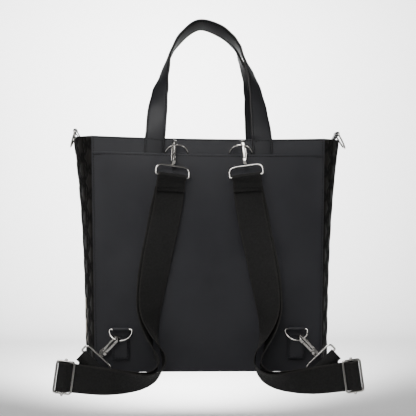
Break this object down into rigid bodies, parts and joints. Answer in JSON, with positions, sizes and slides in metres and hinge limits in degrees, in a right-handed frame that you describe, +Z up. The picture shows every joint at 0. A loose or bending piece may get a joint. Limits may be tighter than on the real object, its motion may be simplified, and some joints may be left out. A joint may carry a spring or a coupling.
{
  "type": "convertible backpack",
  "caption": "Tote-shaped leather bag with short carrying handles, a slip pocket on its back, embossed gussets and webbing shoulder straps on snap hooks.",
  "frame": {"origin": "Under the arch of the two carrying handles, at mid-depth, where a hand or a hook carries the bag.", "axes": "+Z up, +X to the right as the straps' side is seen, the straps' side towards -Y."},
  "size_m": [0.4122, 0.1707, 0.504],
  "materials": {
    "leather": "satin",
    "embossed_leather": "satin",
    "webbing": "matte",
    "nickel": "polished"
  },
  "bodies": {
    "bag": {"back_panel": "leather", "front_panel": "leather", "back_pocket": "leather", "gusset_left": "embossed_leather", "gusset_right": "embossed_leather", "base": "leather", "handle_rear": "leather", "handle_front": "leather", "webbing_left": "webbing", "webbing_right": "webbing", "inner_webbing_left": "webbing", "inner_webbing_right": "webbing", "slider_left": "nickel", "slider_right": "nickel", "upper_ring_left": "nickel", "upper_ring_right": "nickel", "lower_ring_left": "nickel", "lower_ring_right": "nickel", "hook_upper_left": "nickel", "hook_upper_right": "nickel", "hook_lower_left": "nickel", "hook_lower_right": "nickel", "swivel_upper_left": "nickel", "swivel_upper_right": "nickel", "swivel_lower_left": "nickel", "swivel_lower_right": "nickel", "upper_tab_left": "leather", "upper_tab_right": "leather", "lower_tab_left": "leather", "lower_tab_right": "leather", "side_tab_left": "leather", "side_tab_right": "leather"},
    "lever_upper_left": {"gate_upper_left": "nickel"},
    "lever_upper_right": {"gate_upper_right": "nickel"},
    "lever_lower_left": {"gate_lower_left": "nickel"},
    "lever_lower_right": {"gate_lower_right": "nickel"},
    "ring_left": {"side_ring_left": "nickel"},
    "ring_right": {"side_ring_right": "nickel"}
  },
  "joints": [
    {"name": "lever_upper_left_open", "type": "hinge", "parent": "bag", "child": "lever_upper_left", "pos_m": [-0.04589, -0.08399, -0.17542], "axis": [-0.972, -0.1944, 0.1324], "range_deg": [0, 20], "stiffness_Nm_per_rad": 0.02, "springref_deg": -17.19},
    {"name": "lever_upper_right_open", "type": "hinge", "parent": "bag", "child": "lever_upper_right", "pos_m": [0.04589, -0.08399, -0.17542], "axis": [-0.972, 0.1944, -0.1324], "range_deg": [0, 20], "stiffness_Nm_per_rad": 0.02, "springref_deg": -17.19},
    {"name": "lever_lower_left_open", "type": "hinge", "parent": "bag", "child": "lever_lower_left", "pos_m": [-0.13494, -0.07967, -0.43094], "axis": [-0.6523, -0.4206, 0.6305], "range_deg": [0, 20], "stiffness_Nm_per_rad": 0.02, "springref_deg": -17.19},
    {"name": "lever_lower_right_open", "type": "hinge", "parent": "bag", "child": "lever_lower_right", "pos_m": [0.13494, -0.07967, -0.43094], "axis": [-0.6523, 0.4206, -0.6305], "range_deg": [0, 20], "stiffness_Nm_per_rad": 0.02, "springref_deg": -17.19},
    {"name": "side_ring_left_swing", "type": "hinge", "parent": "bag", "child": "ring_left", "pos_m": [-0.17936, 0, -0.137], "axis": [0, 1, 0], "range_deg": [-3, 115]},
    {"name": "side_ring_right_swing", "type": "hinge", "parent": "bag", "child": "ring_right", "pos_m": [0.17936, 0, -0.1405], "axis": [0, -1, 0], "range_deg": [-14, 102]}
  ]
}
